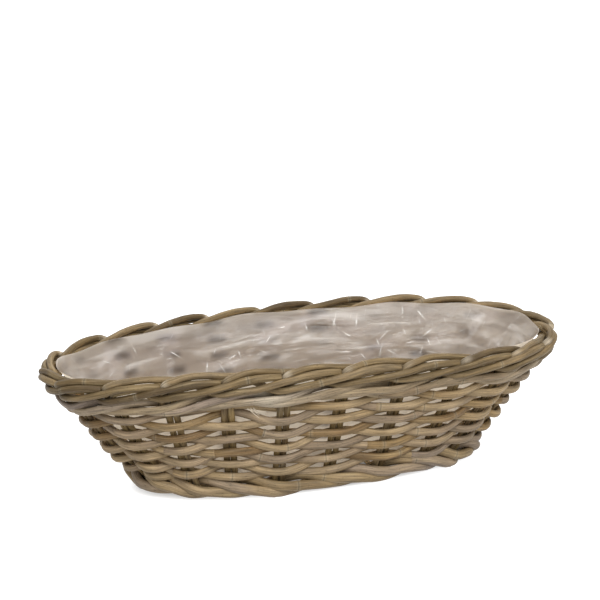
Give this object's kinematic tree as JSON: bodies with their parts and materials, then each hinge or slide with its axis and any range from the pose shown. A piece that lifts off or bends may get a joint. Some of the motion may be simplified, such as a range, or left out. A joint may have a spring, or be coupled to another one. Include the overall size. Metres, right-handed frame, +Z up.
{
  "type": "basket planter",
  "caption": "Oval flared basket planter of round rattan rods woven on paired stakes, with a roped border, a woven foot and base, and a clear film liner.",
  "frame": {"origin": "middle of the oval on the surface that the basket stands on", "axes": "+X along the length of the oval, +Y across it, +Z up"},
  "size_m": [0.582, 0.2522, 0.1583],
  "materials": {
    "stake_rattan": "weathered, unvarnished rattan",
    "foot_rattan": "weathered, unvarnished rattan",
    "weave_rattan": "weathered, unvarnished rattan",
    "band_rattan": "weathered, unvarnished rattan",
    "border_rattan": "weathered, unvarnished rattan",
    "base_rattan": "weathered, unvarnished rattan",
    "liner_film": "clear crumpled polythene film"
  },
  "bodies": {
    "root": {"stake_pair_01": "stake_rattan", "stake_pair_02": "stake_rattan", "stake_pair_03": "stake_rattan", "stake_pair_04": "stake_rattan", "stake_pair_05": "stake_rattan", "stake_pair_06": "stake_rattan", "stake_pair_07": "stake_rattan", "stake_pair_08": "stake_rattan", "stake_pair_09": "stake_rattan", "stake_pair_10": "stake_rattan", "stake_pair_11": "stake_rattan", "stake_pair_12": "stake_rattan", "stake_pair_13": "stake_rattan", "stake_pair_14": "stake_rattan", "stake_pair_15": "stake_rattan", "stake_pair_16": "stake_rattan", "stake_pair_17": "stake_rattan", "stake_pair_18": "stake_rattan", "stake_pair_19": "stake_rattan", "stake_pair_20": "stake_rattan", "stake_pair_21": "stake_rattan", "stake_pair_22": "stake_rattan", "foot_strand_01": "foot_rattan", "foot_strand_02": "foot_rattan", "foot_strand_03": "foot_rattan", "foot_top_strand": "foot_rattan", "weave_round_01_a": "weave_rattan", "weave_round_01_b": "weave_rattan", "weave_round_02_a": "weave_rattan", "weave_round_02_b": "weave_rattan", "weave_round_03_a": "weave_rattan", "weave_round_03_b": "weave_rattan", "weave_round_04_a": "weave_rattan", "weave_round_04_b": "weave_rattan", "weave_round_05_a": "weave_rattan", "weave_round_05_b": "weave_rattan", "rim_band_strand_01": "band_rattan", "rim_band_strand_02": "band_rattan", "rim_band_strand_03": "band_rattan", "border_strand_01": "border_rattan", "border_strand_02": "border_rattan", "border_strand_03": "border_rattan", "base_cross_stick_01": "base_rattan", "base_cross_stick_02": "base_rattan", "base_cross_stick_03": "base_rattan", "base_cross_stick_04": "base_rattan", "base_cross_stick_05": "base_rattan", "base_cross_stick_06": "base_rattan", "base_cross_stick_07": "base_rattan", "base_long_rod_01": "base_rattan", "base_long_rod_02": "base_rattan", "base_long_rod_03": "base_rattan", "base_long_rod_04": "base_rattan", "base_long_rod_05": "base_rattan", "base_long_rod_06": "base_rattan", "base_long_rod_07": "base_rattan", "film_liner": "liner_film"}
  },
  "joints": []
}
